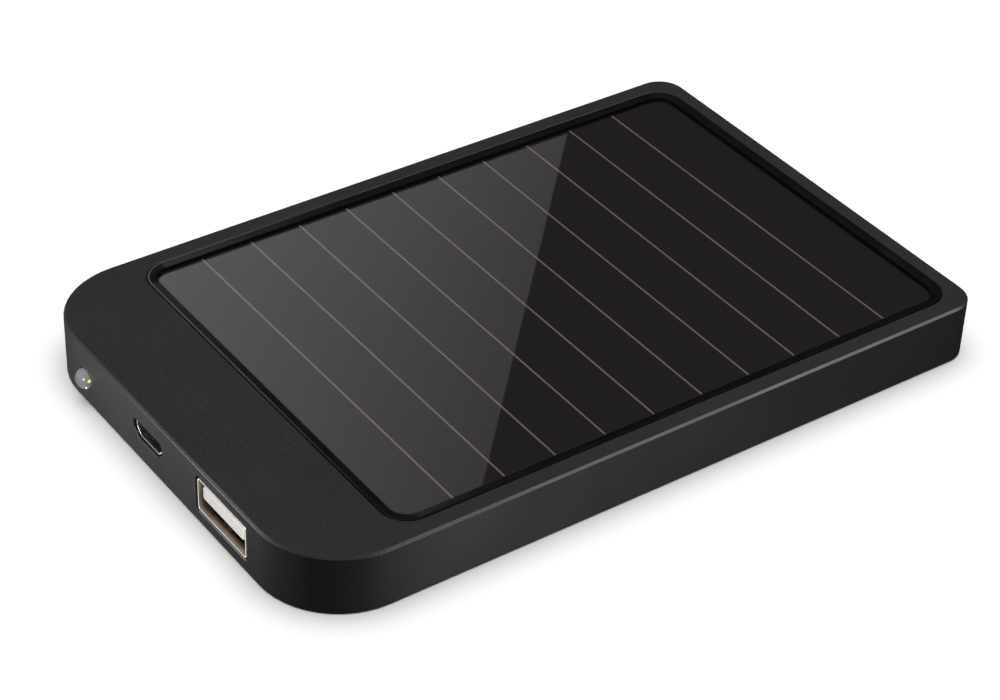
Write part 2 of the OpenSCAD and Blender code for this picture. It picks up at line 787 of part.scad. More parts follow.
// ---------- charging socket ----------

module micro_usb_shell() {
    color("#c4c4c6") difference() {
        translate([micro_x0, 0, 0]) micro_outline(0, micro_d);
        translate([micro_x0 - cut, 0, 0]) micro_outline(-micro_sheet, micro_d + cut - micro_sheet);
    }
}

module micro_usb_tongue() {
    z = micro_z + micro_h / 2 + 0.05;
    color("#17171a") difference() {
        block([micro_x0 + micro_tongue_set, micro_y - micro_tongue_w / 2, z],
            [micro_x0 + micro_d - micro_sheet, micro_y + micro_tongue_w / 2, z + micro_tongue_t]);
        micro_strips();
    }
}

// Five contact strips let into the underside of the charging tongue
module micro_strips() {
    z = micro_z + micro_h / 2 + 0.05;
    for (i = [-2 : 2])
        block([micro_x0 + micro_tongue_set + 0.5, micro_y + i * 0.65 - 0.15, z - 0.001],
            [micro_x0 + micro_d - micro_sheet, micro_y + i * 0.65 + 0.15, z + 0.15]);
}

module micro_usb_contacts() {
    color("gold") micro_strips();
}

// ---------- indicator light ----------

module led_legs() {
    x0 = led_flange_x + led_flange_t - led_pocket;
    for (y = [led_y - led_pitch / 2, led_y + led_pitch / 2 - led_leg])
        block([x0, y, led_z - led_leg / 2], [led_flange_x + 5, y + led_leg, led_z + led_leg / 2]);
}

module led_lens() {
    color("#dfe2e2", 0.7) difference() {
        translate([near_x, led_y, led_z]) rotate([0, 90, 0]) {
            difference() {
                sphere(r = led_r);
                cylinder(r = 2 * led_r, h = 2 * led_r);
            }
            cylinder(r = led_r, h = led_barrel + join);
            translate([0, 0, led_barrel]) cylinder(r = led_flange_r, h = led_flange_t);
        }
        led_legs();
        led_chip_block();
    }
}

module led_chip_block() {
    x = led_flange_x + led_flange_t - led_pocket;
    y = led_y + led_pitch / 2 - led_leg;
    block([x - 0.25, y, led_z - 0.15], [x, y + 0.3, led_z + 0.15]);
}

module led_lead_frame() {
    color("#b9bcc0") led_legs();
}

module led_die() {
    color("#d6e04a") led_chip_block();
}

// ---------- battery ----------

module battery_pouch() {
    l = battery_x1 - battery_x0;
    h = battery_top - battery_z;
    color("#b7babd") {
        translate([(battery_x0 + battery_x1) / 2, 0, battery_z])
            plate(l, 2 * battery_y, battery_r, battery_r, h);
        // sealed end with the tabs
        block([terrace_x0, -battery_y + battery_r, battery_mid - seal_t / 2],
            [battery_x0 + join, battery_y - battery_r, battery_mid + seal_t / 2]);
    }
}

module battery_tabs() {
    color("#c9c9c4") for (s = [-1, 1])
        block([guard_x0, s * tab_y - tab_w / 2, battery_mid + seal_t / 2],
            [battery_x0, s * tab_y + tab_w / 2, battery_mid + seal_t / 2 + tab_t]);
}

module battery_guard_board() {
    color("#134a7a")
        block([guard_x0, -guard_half, guard_z], [guard_x0 + guard_w, guard_half, guard_z + guard_t]);
}

module battery_guard_parts() {
    z = guard_z + guard_t;
    color("#1b1b1d") {
        for (y = guard_chip_y)
            block([guard_x0 + guard_chip_inset, y, z],
                [guard_x0 + guard_w - guard_chip_inset, y + guard_chip_w, z + guard_part_h]);
        for (y = guard_resistor_y)
            block([guard_x0 + guard_resistor_inset, y, z],
                [guard_x0 + guard_w - guard_resistor_inset, y + guard_resistor_w, z + guard_part_h / 2]);
    }
}

// Insulating tape laid over the guard board's chips and stuck to the pouch's end
module battery_tape() {
    color("#c9a227", 0.8) {
        block([guard_x0 - 0.4, tape_y0, tape_z], [battery_x0, tape_y1, tape_z + tape_t]);
        block([battery_x0 - tape_t, tape_y0, guard_z + guard_t], [battery_x0, tape_y1, tape_z + tape_t]);
    }
}

module battery_foam_pad() {
    edge = 5;
    color("#4a4a4d")
        block([battery_x0 + edge, -battery_y + edge, battery_top],
            [battery_x1 - edge, battery_y - edge, battery_top + foam_t]);
}

module battery_adhesive_strips() {
    color("#ece8da") for (s = [-1, 1])
        block([battery_x0 + strip_margin, s * battery_y / 2 - strip_w / 2, cover_t],
            [battery_x1 - strip_margin, s * battery_y / 2 + strip_w / 2, battery_z]);
}

module battery_lead_red() {
    color("red") lead(spline(red_battery_route, 7), lead_r);
}

module battery_lead_black() {
    color("#151515") lead(spline(black_battery_route, 7), lead_r);
}

upper_housing();
back_cover();
panel_bezel();
panel_glass();
cell_strips();
cell_scribe_lines();
panel_bus_bars();
panel_back_coat();
panel_adhesive();
panel_solder_pads();
panel_lead_red();
panel_lead_black();
circuit_board();
board_screws();
board_solder_pads();
usb_a_shell();
usb_a_tongue();
usb_a_contacts();
usb_a_rear_block();
micro_usb_shell();
micro_usb_tongue();
micro_usb_contacts();
led_lens();
led_lead_frame();
led_die();
charge_chip();
boost_chip();
chip_pins();
inductor_core();
inductor_winding();
blocking_diode();
output_capacitor();
ceramic_capacitors();
resistors();
battery_pouch();
battery_tabs();
battery_guard_board();
battery_guard_parts();
battery_tape();
battery_foam_pad();
battery_adhesive_strips();
battery_lead_red();
battery_lead_black();
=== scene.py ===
# %% [markdown]
# # A pocket solar charger, from its fixed frame to a finished picture
# The object is a flat battery pack in a dark moulded case. A thin-film solar panel under glass
# fills most of its top, and one end face holds a small clear light, a charging socket and an
# output socket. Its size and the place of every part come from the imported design. This lesson
# builds the surfaces that show, one piece at a time, as shapes worked out by formula, and gives
# every hidden part a finish of its own.

# %% Load the frame
import math

import bmesh
import bpy
import numpy as np
from mathutils import Matrix, Vector


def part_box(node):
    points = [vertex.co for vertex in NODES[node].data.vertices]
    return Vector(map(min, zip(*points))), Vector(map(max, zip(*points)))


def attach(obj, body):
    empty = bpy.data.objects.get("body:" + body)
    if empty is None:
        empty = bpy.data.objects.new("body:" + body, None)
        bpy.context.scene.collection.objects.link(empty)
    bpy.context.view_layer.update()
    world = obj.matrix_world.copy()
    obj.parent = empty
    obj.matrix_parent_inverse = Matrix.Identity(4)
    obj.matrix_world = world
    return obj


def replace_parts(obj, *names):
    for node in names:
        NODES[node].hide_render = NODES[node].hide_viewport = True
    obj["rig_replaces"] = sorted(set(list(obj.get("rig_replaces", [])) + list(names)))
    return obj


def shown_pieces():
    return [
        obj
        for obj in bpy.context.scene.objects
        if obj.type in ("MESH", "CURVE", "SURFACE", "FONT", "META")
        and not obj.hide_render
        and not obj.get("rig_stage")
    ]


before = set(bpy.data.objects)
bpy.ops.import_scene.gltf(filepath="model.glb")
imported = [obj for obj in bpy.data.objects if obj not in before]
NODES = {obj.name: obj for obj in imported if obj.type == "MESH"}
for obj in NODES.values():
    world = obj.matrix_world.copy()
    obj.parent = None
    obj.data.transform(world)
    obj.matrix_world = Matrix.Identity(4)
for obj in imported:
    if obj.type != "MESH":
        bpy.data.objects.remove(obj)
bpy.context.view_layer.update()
MM = 0.001  # one millimetre in Blender's metres
print("parts in the frame:", len(NODES))


def span(node):
    """Lowest and highest corner of a part of the frame, in millimetres."""
    low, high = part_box(node)
    return np.array(low) / MM, np.array(high) / MM


# %% [markdown]
# ## The camera
# A product picture of something this flat is taken from above one corner, with a long lens so
# that its straight edges stay nearly parallel. The camera is placed by where it aims, how far
# away it stands and which way it looks, which is easier to think about than a matrix. The
# matrix comes last: its columns are the camera's right, its up and its back.

# %% Camera
LENS, SENSOR = 100.18, 36.0  # millimetres
AIM = Vector((-5.06, -4.80, 5.0)) * MM
DISTANCE = 416.9 * MM
HEADING, TILT, ROLL = (math.radians(a) for a in (53.53, -36.43, 2.38))

forward = Vector((math.cos(TILT) * math.cos(HEADING), math.cos(TILT) * math.sin(HEADING), math.sin(TILT)))
level = forward.cross(Vector((0, 0, 1))).normalized()
right = level * math.cos(ROLL) + level.cross(forward) * math.sin(ROLL)
eye = AIM - forward * DISTANCE
turn = Matrix((right, right.cross(forward), -forward)).transposed()
lens = bpy.data.cameras.new("camera")
lens.lens, lens.sensor_width = LENS, SENSOR
lens.clip_start, lens.clip_end = 0.01, 20.0
camera = bpy.data.objects.new("camera", lens)
camera.matrix_world = Matrix.Translation(eye) @ turn.to_4x4()
bpy.context.scene.collection.objects.link(camera)
bpy.context.scene.camera = camera
bpy.context.scene.view_settings.view_transform = "Standard"
print("camera stands at", [round(v / MM) for v in eye], "mm")

# %% [markdown]
# ## Outlines with round corners
# Nearly every shape on this object is an outline with round corners: the case in plan, the
# panel, the sockets from the front, and even the cross-section of the case's wall. So one
# function rounds any row of corners. It works for a closed outline and for an open path, and
# all corners are worked out at once as arrays.

# %% Rounded paths
ARC = 12  # steps round each corner of an outline
SIDE = 3  # steps along each side of an outline


def crossed(a, b):
    """Length of the cross product of flat vectors."""
    return a[..., 0] * b[..., 1] - a[..., 1] * b[..., 0]


def unit(v):
    return v / np.maximum(np.linalg.norm(v, axis=-1, keepdims=True), 1e-12)


def arcs(before, corner, after, radius, steps):
    """Each corner replaced by an arc. The path turns there by an angle t. The arc starts
    radius * tan(t / 2) before the corner, its centre lies one radius to the inner side, and it
    turns by t in equal steps. The result is (corners, steps + 1, 2)."""
    come, go = unit(corner - before), unit(after - corner)
    t = np.arctan2(crossed(come, go), (come * go).sum(-1))
    inward = np.stack([-come[:, 1], come[:, 0]], -1) * np.sign(t)[:, None]
    centre = corner - come * (radius * np.tan(abs(t) / 2))[:, None] + inward * radius[:, None]
    start = np.arctan2(-inward[:, 1], -inward[:, 0])
    angle = start[:, None] + t[:, None] * np.linspace(0, 1, steps + 1)
    return centre[:, None] + radius[:, None, None] * np.stack([np.cos(angle), np.sin(angle)], -1)


def outline(corners, radii, grow=0.0, steps=ARC, sides=SIDE):
    """Closed outline, anticlockwise, with round corners and evenly divided sides. grow moves
    every side outwards: a corner moves along the sum of its two outward directions, divided by
    1 plus their product, and its radius grows by the same amount."""
    p = np.array(corners, float)
    r = np.broadcast_to(np.array(radii, float), len(p))
    out = unit(np.roll(p, -1, 0) - p) @ np.array([[0, -1], [1, 0]])
    last = np.roll(out, 1, 0)
    p = p + grow * (out + last) / (1 + (out * last).sum(-1, keepdims=True))
    bends = arcs(np.roll(p, 1, 0), p, np.roll(p, -1, 0), np.maximum(r + grow, 0.01), steps)
    share = np.linspace(0, 1, sides + 1)[1:-1, None]
    straight = bends[:, -1:] * (1 - share) + np.roll(bends[:, :1], -1, 0) * share
    return np.concatenate([bends, straight], axis=1).reshape(-1, 2)


def path(points, radii, steps=5):
    """Open path with its inner corners rounded. radii has one value for each inner corner."""
    p = np.array(points, float)
    bends = arcs(p[:-2], p[1:-1], p[2:], np.maximum(np.array(radii, float), 1e-4), steps)
    return np.concatenate([p[:1], bends.reshape(-1, 2), p[-1:]])


def rectangle(low, high):
    """The four corners, anticlockwise from the lowest."""
    return [(low[0], low[1]), (high[0], low[1]), (high[0], high[1]), (low[0], high[1])]


print("a rounded square has", len(outline(rectangle((0, 0), (1, 1)), 0.2)), "points")

# %% [markdown]
# ## From loops to a closed skin
# A loop is an outline set somewhere in space. A skin joins loops that have the same number of
# points with quads, and closes the two ends, or runs round to the first loop again like a ring.
# With loops that turn anticlockwise seen from the side they travel towards, every face looks
# outwards. Finished pieces get smooth shading and normals weighted by face area, so that flat
# faces look flat right up to their small rounded edges, as on a moulded or polished part.

# %% Skins and pieces


def skin(loops, ring=False):
    """Points and faces of a skin over loops, an array (loops, points, 3) in millimetres."""
    rows, count = loops.shape[:2]
    index = np.arange(rows * count).reshape(rows, count)
    here, there = (index, np.roll(index, -1, 0)) if ring else (index[:-1], index[1:])
    faces = np.stack([here, np.roll(here, -1, 1), np.roll(there, -1, 1), there], -1).reshape(-1, 4).tolist()
    if not ring:
        faces += [index[0, ::-1].tolist(), index[-1].tolist()]
    return loops.reshape(-1, 3), faces


def plan_loops(corners, radii, stations):
    """Outline laid flat once for each station (grow, height)."""
    rows = [np.insert(outline(corners, radii, grow), 2, z, axis=1) for grow, z in stations]
    return np.array(rows)


def end_loops(corners, radii, stations):
    """Outline stood up across the length once for each station (x, grow)."""
    rows = [np.insert(outline(corners, radii, grow), 0, x, axis=1) for x, grow in stations]
    return np.array(rows)


def turned(profile, centre, steps=48):
    """Loops of a turned shape along X: each profile point (x, radius) becomes a circle."""
    angle = np.linspace(0, 2 * np.pi, steps, endpoint=False)
    x = np.broadcast_to(profile[:, :1], (len(profile), steps))
    y = centre[0] + profile[:, 1:] * np.cos(angle)
    z = centre[1] + profile[:, 1:] * np.sin(angle)
    return np.stack([x, y, z], -1)


def strip(route, across, width, thick):
    """Loops of a flat spring: route is (points, 3), and the section is width wide along across
    and thick along the direction square to the route and to across."""
    run = unit(np.gradient(route, axis=0))
    across = np.broadcast_to(np.array(across, float), run.shape)
    up = unit(np.cross(run, across))
    sign = np.array([(-1, -1), (1, -1), (1, 1), (-1, 1)], float) / 2
    side = sign[:, 0, None] * width * across[:, None]
    return route[:, None] + side + sign[:, 1, None] * thick * up[:, None]


def mesh_of(name, skins):
    """One mesh of several skins, in metres, with doubled points merged so poles are closed."""
    points, faces, offset = [], [], 0
    for p, f in skins:
        points.append(p)
        faces += [[i + offset for i in face] for face in f]
        offset += len(p)
    mesh = bpy.data.meshes.new(name)
    mesh.from_pydata((np.concatenate(points) * MM).tolist(), [], faces)
    work = bmesh.new()
    work.from_mesh(mesh)
    bmesh.ops.remove_doubles(work, verts=work.verts, dist=1e-4 * MM)
    bmesh.ops.dissolve_degenerate(work, edges=work.edges, dist=1e-4 * MM)
    work.to_mesh(mesh)
    work.free()
    return mesh


def piece(name, *skins):
    """A new object of the given skins, linked to the scene."""
    made = bpy.data.objects.new(name, mesh_of(name, skins))
    bpy.context.scene.collection.objects.link(made)
    return made


def joined(target, operation, *skins):
    """Adds the skins to a piece one by one, or cuts them out, and keeps the result as its mesh."""
    for one in skins:
        tool = piece("tool", one)
        change = target.modifiers.new("change", "BOOLEAN")
        change.object, change.operation, change.solver = tool, operation, "EXACT"
        graph = bpy.context.evaluated_depsgraph_get()
        result = bpy.data.meshes.new_from_object(target.evaluated_get(graph))
        target.modifiers.clear()
        target.data = result
        bpy.data.objects.remove(tool)
    return target


def settle(made, finish, slot, *stands_for, sharp=38):
    """Shading, finish and body for a finished piece; it stands for the given parts. slot is not used."""
    made.data.shade_smooth()
    made.data.set_sharp_from_angle(angle=math.radians(sharp))
    even = made.modifiers.new("even_normals", "WEIGHTED_NORMAL")
    even.keep_sharp = True
    made.data.materials.clear()
    made.data.materials.append(finish)
    if stands_for:
        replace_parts(made, *stands_for)
    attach(made, "root")
    work = bmesh.new()
    work.from_mesh(made.data)
    open_edges = sum(not e.is_manifold for e in work.edges)
    work.free()
    print(f"{made.name}: {len(made.data.polygons)} faces, {open_edges} open edges")


# %% [markdown]
# ## Finishes as expressions
# Every finish is made of nodes, and node trees are hard to read as code. So a node's output is
# wrapped in a small class that knows arithmetic: adding or multiplying two of them adds the
# Math node that does it. All other nodes come from one method that sets a node's options first
# and then its inputs, by value or by link.

# %% Shader helpers


class Value:
    """A node's output, which can be used in arithmetic."""

    def __init__(self, finish, socket):
        self.finish, self.socket = finish, socket

    def math(self, operation, *terms, clamp=False):
        return self.finish.node("Math", {"operation": operation, "use_clamp": clamp}, dict(enumerate(terms)))

    def __add__(self, other):
        return self.math("ADD", self, other)

    __radd__ = __add__

    def __mul__(self, other):
        return self.math("MULTIPLY", self, other)

    __rmul__ = __mul__

    def __sub__(self, other):
        return self.math("SUBTRACT", self, other)

    def __rsub__(self, other):
        return self.math("SUBTRACT", other, self)

    def __pow__(self, other):
        return self.math("POWER", self, other)

    def above(self, edge, soft):
        """0 below edge, 1 above it, with a ramp soft wide centred on the edge."""
        return self.finish.node(
            "MapRange", {"interpolation_type": "SMOOTHSTEP"},
            {"Value": self, "From Min": edge - soft / 2, "From Max": edge + soft / 2},
        )


class Finish:
    """One material or world and its nodes."""

    def __init__(self, owner):
        owner.use_nodes = True
        self.owner, self.tree = owner, owner.node_tree
        self.tree.nodes.clear()

    def node(self, kind, settings=None, inputs=None, out=0):
        """A new node with its settings and inputs. The result is its output named or numbered out."""
        made = self.tree.nodes.new("ShaderNode" + kind)
        for key, value in (settings or {}).items():
            setattr(made, key, value)
        for key, value in (inputs or {}).items():
            if isinstance(value, Value):
                self.tree.links.new(value.socket, made.inputs[key])
            else:
                made.inputs[key].default_value = value
        return Value(self, made.outputs[out]) if made.outputs else made

    def place(self, scale=(1, 1, 1)):
        """Object coordinates, stretched by a Mapping node."""
        where = self.node("TexCoord", out="Object")
        return self.node("Mapping", {}, {"Vector": where, "Scale": scale})

    def axes(self):
        """The three object coordinates as values, in metres."""
        where = self.node("TexCoord", out="Object")
        return [self.node("SeparateXYZ", {}, {0: where}, out=i) for i in range(3)]

    def noise(self, size, detail=2.0, stretch=(1, 1, 1)):
        """Smooth noise whose lumps are size millimetres across."""
        return self.node(
            "TexNoise", {}, {"Vector": self.place(stretch), "Scale": 1 / (size * MM), "Detail": detail}
        )

    def mix(self, share, first, second):
        """Colour mix: first where share is 0, second where it is 1."""
        colours = {i: c if isinstance(c, Value) else (*c, 1) for i, c in ((6, first), (7, second))}
        return self.node("Mix", {"data_type": "RGBA"}, {0: share, **colours}, out=2)

    def bump(self, height, depth):
        """A normal that follows height, with relief depth millimetres high."""
        return self.node("Bump", {}, {"Height": height, "Distance": depth * MM})

    def surface(self, **sockets):
        """Principled surface as the material's output; names use _ for spaces."""
        named = {k.replace("_", " ").title().replace("Ior", "IOR"): v for k, v in sockets.items()}
        for key, value in named.items():
            if isinstance(value, tuple):
                named[key] = (*value, 1)
        return self.output(self.node("BsdfPrincipled", {}, named), "OutputMaterial")

    def output(self, shader, kind):
        self.node(kind, {}, {0: shader})
        return self.owner


print("finish helpers ready")

# %% [markdown]
# ## The case plastic
# The case is moulded in a nearly black plastic from a finely sparked mould. Close up its skin is
# a tight random grain a third of a millimetre across that scatters highlights, over a faint
# cloudiness where the melt cooled unevenly. Noise at both scales sets the colour, the gloss and
# a very shallow relief. The same recipe with other values serves every moulded part.

# %% Moulded plastics


def moulded(name, dark, light, rough, grain=0.3, depth=0.01):
    """Plastic whose colour runs from dark to light with its grain, and whose gloss is cloudy."""
    f = Finish(bpy.data.materials.new(name))
    fine = f.noise(grain, detail=4)
    cloud = f.noise(14, detail=2)
    speck = fine.above(0.5, 0.5)
    return f.surface(
        base_color=f.mix(speck * 0.8 + cloud * 0.2, dark, light),
        roughness=rough + 0.16 * (cloud - 0.5) + 0.1 * (fine - 0.5),
        normal=f.bump(fine, depth),
    )


case_plastic = moulded("case_plastic", (0.0125, 0.0125, 0.0130), (0.0215, 0.0215, 0.0222), 0.44)
cover_plastic = moulded(
    "cover_plastic", (0.011, 0.011, 0.0115), (0.020, 0.020, 0.0208), 0.6, grain=0.45, depth=0.02
)
chip_epoxy = moulded("chip_epoxy", (0.012, 0.012, 0.013), (0.022, 0.022, 0.024), 0.5, grain=0.12)
white_nylon = moulded("white_nylon", (0.66, 0.645, 0.61), (0.78, 0.765, 0.73), 0.42, grain=0.5, depth=0.006)
black_nylon = moulded("black_nylon", (0.010, 0.010, 0.011), (0.022, 0.022, 0.024), 0.4, grain=0.3)
ferrite = moulded("ferrite", (0.030, 0.030, 0.032), (0.055, 0.054, 0.055), 0.75, grain=0.1, depth=0.02)
ceramic = moulded("ceramic", (0.33, 0.22, 0.12), (0.45, 0.31, 0.18), 0.5, grain=0.15)
resistor_body = moulded("resistor_body", (0.010, 0.010, 0.012), (0.025, 0.025, 0.03), 0.35, grain=0.2)
print("plastics made:", len(bpy.data.materials))

# %% [markdown]
# ## The case
# The case is one shell: side walls, the top face with a seat for the panel, and below a rim
# round the back cover. Its wall has the same cross-section all round, so that section is a path
# of (how far in, how high), rounded where the mould is, and carried along the plan outline. The
# large corners are at the socket end. The seat follows the panel's own outline, which has as
# many points, so the top face is one band of quads between the two.

# %% The case as one skin
CASE_RADII = [13, 4.5, 4.5, 13]  # plan corners: two at the socket end, two at the far end
PANEL_RADIUS = 4.5
WALL, RIM, RIM_CHAMFER = 1.5, 0.9, 0.12
BEVEL, BEVEL_ROUND = 0.35, 0.12  # slanted top edge, and how softly it meets its neighbours
FOOT_ROUND = 0.35  # round of the lower outside edge
SEAT_GAP, SEAT_ROUND = 0.1, 0.14
FLOOR, COVER = 1.0, 1.2  # thickness of the floor under the panel, and of the back cover
ONTO_TOP, ROUND_SEAT = 0.9, 0.7  # how far the two loops of the top face lie from its edges

case_low, case_high = span("upper_housing")
ring_low, ring_high = span("panel_bezel")
seat_z = ring_low[2]
top_z = case_high[2]
case_plan = rectangle(case_low[:2], case_high[:2])
seat_plan = rectangle(ring_low[:2] - SEAT_GAP, ring_high[:2] + SEAT_GAP)

wall_section = path(
    [(WALL, seat_z - FLOOR), (WALL, COVER), (RIM, COVER), (RIM, 0), (0, 0),
     (0, top_z - BEVEL), (BEVEL, top_z), (BEVEL + ONTO_TOP, top_z)],
    [0, 0, RIM_CHAMFER, FOOT_ROUND, BEVEL_ROUND, BEVEL_ROUND],
)
seat_section = path([(ROUND_SEAT, top_z), (0, top_z), (0, seat_z)], [SEAT_ROUND])
case_loops = np.concatenate([
    plan_loops(case_plan, CASE_RADII, wall_section * (-1, 1)),
    plan_loops(seat_plan, PANEL_RADIUS, seat_section),
])
case = piece("case_shell", skin(case_loops))
print("case is", np.round(case_high - case_low, 2), "mm")

# %% [markdown]
# ## Openings in the end wall
# The two sockets and the light look out through the end wall. Each opening is the outline of
# what sits in it plus a small gap, and its mouth has a slight flare where the mould's core pin
# is chamfered. They are cut with an exact boolean, since the wall around them is curved
# nowhere and the rest of the skin stays as it was. The same cut hollows a deeper bay over the
# electronics, and tubes joined to the roof give the three screw posts.

# %% Openings, bay and screw posts
PORT_GAP, LIGHT_GAP, FLARE = 0.25, 0.1, 0.14
CLEAR = 1.0  # how far a cutter reaches past what it cuts
USB_CORNER, MICRO_CORNER, MICRO_CUT = 0.6, 0.35, 1.1
ROOF = 1.5  # thickness of the top face over the bay
BAY_CORNER, INSIDE = 1, 0.03  # the bay is a hair smaller than the walls, so no faces coincide
POST_R, PILOT_R, POST_INTO_ROOF = 1.9, 0.8, 0.3
usb_low, usb_high = span("usb_a_shell")
micro_low, micro_high = span("micro_usb_shell")
light_low, light_high = span("led_lens")
board_low, board_high = span("circuit_board")
near_x = case_low[0]


def mouth_stations(gap):
    """Stations (x, grow) of an opening's cutter: wider by FLARE at the wall's outer face."""
    return [(near_x - CLEAR, gap + FLARE), (near_x, gap + FLARE), (near_x + FLARE, gap),
            (near_x + WALL + CLEAR, gap)]


def mouth(corners, radii):
    """Cutter for a socket's opening in the end wall."""
    return skin(end_loops(corners, radii, mouth_stations(PORT_GAP)))


def micro_corners(low, high):
    """Corners of the charging socket: wide above, with its two lower corners cut off."""
    (y0, z0), (y1, z1) = low, high
    cut = MICRO_CUT
    return [(y0, z1), (y0, z0 + cut), (y0 + cut, z0), (y1 - cut, z0), (y1, z0 + cut), (y1, z1)]


usb_face = rectangle(usb_low[1:], usb_high[1:])
micro_face = micro_corners(micro_low[1:], micro_high[1:])
light_at = (light_low[1:] + light_high[1:]) / 2
LIGHT_R = 1.62  # radius of the light's lens
hole = np.array([(x, LIGHT_R + grow) for x, grow in mouth_stations(LIGHT_GAP)])
bay = plan_loops(
    rectangle((near_x + WALL, case_low[1] + WALL), (ring_low[0] - SEAT_GAP - WALL, case_high[1] - WALL)),
    [CASE_RADII[0] - WALL, BAY_CORNER, BAY_CORNER, CASE_RADII[0] - WALL],
    [(-INSIDE, seat_z - FLOOR - CLEAR), (-INSIDE, top_z - ROOF)],
)
joined(
    case, "DIFFERENCE", mouth(usb_face, USB_CORNER), mouth(micro_face, MICRO_CORNER),
    skin(turned(hole, light_at)), skin(bay),
)
post_at = [  # the board's three screws: two along its inner edge, one beside the light
    (board_high[0] - 1.9, board_low[1] + 2.7), (board_high[0] - 1.9, 14), (board_low[0] + 5.3, 14.5),
]


def post(x, y):
    """Tube from the board up into the roof, with a pilot hole: two circles joined as a ring."""
    angle = np.linspace(0, 2 * np.pi, 24, endpoint=False)
    around = np.stack([np.cos(angle), np.sin(angle)], -1)
    deep = top_z - ROOF if x < ring_low[0] - WALL - POST_R else seat_z - FLOOR
    end = deep + POST_INTO_ROOF
    section = [(POST_R, board_high[2]), (POST_R, end), (PILOT_R, end), (PILOT_R, board_high[2])]
    rows = [np.insert((x, y) + around * r, 2, z, axis=1) for r, z in section]
    return skin(np.array(rows), ring=True)


joined(case, "UNION", *[post(x, y) for x, y in post_at])
settle(case, case_plastic, "housing_plastic", "upper_housing")

# %% [markdown]
# ## The gloss frame round the panel
# A polished black frame drops into the seat. It has a narrow flat lip level with the top face,
# a fine step, and then a broad face that slopes down to the glass. Those lines are what catches
# the eye as thin concentric edges. It is one closed section carried round the panel's outline,
# and the section is drawn as (how far in, how high) like the wall's.

# %% The gloss frame
LIP, STEP, EDGE = 0.36, 0.07, 0.06
GLASS_GAP = 0.1
glass_low, glass_high = span("panel_glass")
frame_width = glass_low[0] - ring_low[0] - GLASS_GAP
ring_section = outline(
    [(0, seat_z), (frame_width, seat_z), (frame_width, glass_high[2]), (LIP + STEP, top_z - STEP),
     (LIP, top_z), (0, top_z)],
    [EDGE, EDGE, EDGE, 0.02, 0.04, EDGE], steps=4, sides=1,
)
ring_plan = rectangle(ring_low[:2], ring_high[:2])
ring_loops = plan_loops(ring_plan, PANEL_RADIUS - SEAT_GAP, ring_section * (-1, 1))
ring = piece("panel_frame", skin(ring_loops[::-1], ring=True))


def polished_black(name):
    """Polished black plastic: a dark gloss with faint rubbing marks in its roughness."""
    f = Finish(bpy.data.materials.new(name))
    haze = f.noise(6, detail=3)
    rub = f.noise(0.8, detail=5, stretch=(1, 6, 1))
    return f.surface(
        base_color=f.mix(haze, (0.0008, 0.0008, 0.0009), (0.0018, 0.0018, 0.0018)),
        roughness=0.16 + 0.12 * haze + 0.06 * rub,
        normal=f.bump(rub, 0.0015),
    )


settle(ring, polished_black("frame_gloss"), "bezel_gloss", "panel_bezel")

# %% [markdown]
# ## The panel under its glass
# The panel is a sheet of glass with the solar film bonded to its back, so the dark colour is
# seen through the glass and the reflections lie on top of it. The glass is a thin slab with
# ground edges that scatter light. A renderer picks one way to go at each hit of clear glass, and
# would pick the faint mirror only once in fourteen tries, which leaves grain. So the slab is
# clear and frosted at its edge, and the mirror belongs to the bonded film as a clear coat: the
# film is so dark that nearly every ray takes the coat, and the picture is the same.

# %% The glass pane
GROUND, LIFT = 0.14, 0.02  # ground edge, and a hair of room over the film
INWARD = 0.6  # how far the section follows the two flat faces
under = glass_low[2] + LIFT
glass_section = path(
    [(INWARD, under), (0, under), (0, glass_high[2]), (INWARD, glass_high[2])], [0.05, GROUND], steps=4,
)
glass_plan = rectangle(glass_low[:2], glass_high[:2])
GLASS_RADIUS = PANEL_RADIUS - SEAT_GAP - frame_width
pane = piece("glass_pane", skin(plan_loops(glass_plan, GLASS_RADIUS, glass_section * (-1, 1))))


def clear_glass(name):
    """Clear slab, slightly smeared, and frosted where its surface is not level: the ground edge."""
    f = Finish(bpy.data.materials.new(name))
    smear = f.noise(9, detail=4, stretch=(1, 2.5, 1))
    upright = f.node("SeparateXYZ", {}, {0: f.node("NewGeometry", out="Normal")}, out="Z")
    ground = (1 - upright.math("ABSOLUTE", upright)).above(0.12, 0.1)
    clear = f.node("BsdfTransparent", {}, {"Color": (0.985, 0.985, 0.985, 1)})
    frosted = f.node("BsdfDiffuse", {}, {"Color": (0.026, 0.025, 0.0255, 1)})
    return f.output(
        f.node("MixShader", {}, {0: ground * 0.6 + smear * 0.004, 1: clear, 2: frosted}), "OutputMaterial"
    )


settle(pane, clear_glass("clear_glass"), "panel_glass", "panel_glass")

# %% [markdown]
# ## The solar film
# The film is amorphous silicon: an even, very dark brown-violet. A laser has scribed it into
# cells joined in series, and the scribe lines let the reddish back electrode show through. The
# frame's own strips and lines have the right shape already, so they only get finishes: slow
# clouds and drawn streaks in the film, and a slightly uneven pink-brown in the lines.

# %% Film and scribe lines


def solar_film(name, dark, light, rough):
    """Deposited film: drawn streaks along the cells over slow clouds, under a coat of glass."""
    f = Finish(bpy.data.materials.new(name))
    streak = f.noise(0.7, detail=3, stretch=(1, 0.06, 1))
    cloud = f.noise(25, detail=2)
    return f.surface(
        base_color=f.mix(streak * 0.5 + cloud * 0.5, dark, light),
        roughness=rough + 0.08 * (streak - 0.5),
        specular_ior_level=0.0,
        coat_weight=0.98 + 0.02 * cloud,
        coat_roughness=0.015,
        coat_ior=1.52,
    )


cell_film = solar_film("cell_film", (0.0126, 0.0104, 0.0113), (0.0168, 0.0145, 0.0154), 0.5)
scribe_film = solar_film("scribe_film", (0.125, 0.088, 0.080), (0.160, 0.114, 0.105), 0.55)
print("film finishes made")

